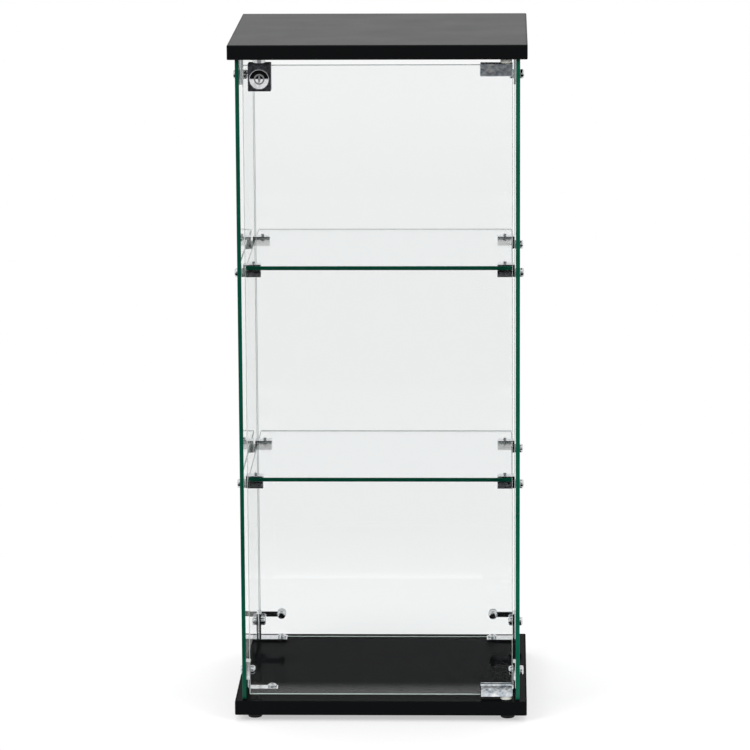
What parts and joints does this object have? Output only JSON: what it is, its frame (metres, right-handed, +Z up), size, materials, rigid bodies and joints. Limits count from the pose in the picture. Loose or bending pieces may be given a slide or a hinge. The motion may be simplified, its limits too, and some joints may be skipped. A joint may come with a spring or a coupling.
{
  "type": "display case",
  "caption": "Free-standing frameless glass display case with black top and base boards, glass shelves on chrome clips and a lockable pivoting glass door.",
  "frame": {"origin": "on the floor under the middle of the case, where the feet stand", "axes": "+Z up, +X to the right of someone facing the door, -Y out of the door"},
  "size_m": [0.365, 0.33, 0.85],
  "materials": {
    "black_board": "satin black laminate",
    "clear_glass": "polished float glass",
    "chrome": "polished chrome plate",
    "steel": "bright zinc plate",
    "foot_rubber": "matte rubber",
    "clear_vinyl": "translucent vinyl",
    "white_nylon": "moulded nylon"
  },
  "bodies": {
    "case": {"bracket_bolts": "chrome", "bracket_cap_nuts": "chrome", "bracket_screws": "chrome", "clip_bolts": "chrome", "strike_ferrule": "chrome", "lower_front_left_clip": "chrome", "lower_front_right_clip": "chrome", "lower_rear_left_clip": "chrome", "lower_rear_right_clip": "chrome", "upper_front_left_clip": "chrome", "upper_front_right_clip": "chrome", "upper_rear_left_clip": "chrome", "upper_rear_right_clip": "chrome", "front_bottom_left_bracket": "chrome", "front_bottom_right_bracket": "chrome", "front_top_left_bracket": "chrome", "front_top_right_bracket": "chrome", "rear_bottom_left_bracket": "chrome", "rear_bottom_right_bracket": "chrome", "rear_top_left_bracket": "chrome", "rear_top_right_bracket": "chrome", "clip_set_screws": "steel", "foot_screws": "steel", "left_pane": "clear_glass", "right_pane": "clear_glass", "back_pane": "clear_glass", "lower_shelf": "clear_glass", "upper_shelf": "clear_glass", "base_board": "black_board", "top_board": "black_board", "front_left_foot": "foot_rubber", "front_right_foot": "foot_rubber", "rear_left_foot": "foot_rubber", "rear_right_foot": "foot_rubber", "clip_pads": "clear_vinyl", "clip_washers": "clear_vinyl", "bracket_washers": "clear_vinyl", "bottom_hinge_bush": "white_nylon", "top_hinge_bush": "white_nylon"},
    "door": {"door_pane": "clear_glass", "bottom_hinge_block": "chrome", "top_hinge_block": "chrome", "bottom_hinge_pin": "steel", "top_hinge_pin": "steel", "hinge_pressure_plates": "steel", "hinge_liners": "clear_vinyl", "hinge_set_screws": "steel", "lock_body": "chrome", "lock_cover_plate": "steel", "lock_ring": "chrome", "lock_liners": "clear_vinyl", "lock_set_screws": "steel"},
    "lock_plug": {"lock_plug": "steel"},
    "lock_latch": {"lock_latch": "steel"}
  },
  "joints": [
    {"name": "door_swing", "type": "hinge", "parent": "case", "child": "door", "pos_m": [0.1565, -0.1485, 0.03], "axis": [0, 0, 1], "range_deg": [0, 110]},
    {"name": "key_turn", "type": "hinge", "parent": "door", "child": "lock_plug", "pos_m": [-0.1435, -0.1601, 0.808], "axis": [0, 1, 0], "range_deg": [0, 180]},
    {"name": "latch_lift", "type": "slide", "parent": "door", "child": "lock_latch", "axis": [0, 0, 1], "range_m": [0, 0.006]}
  ],
  "couplings": [
    {"joint": "key_turn", "follows": "latch_lift", "rad_per_m": 523.6}
  ]
}
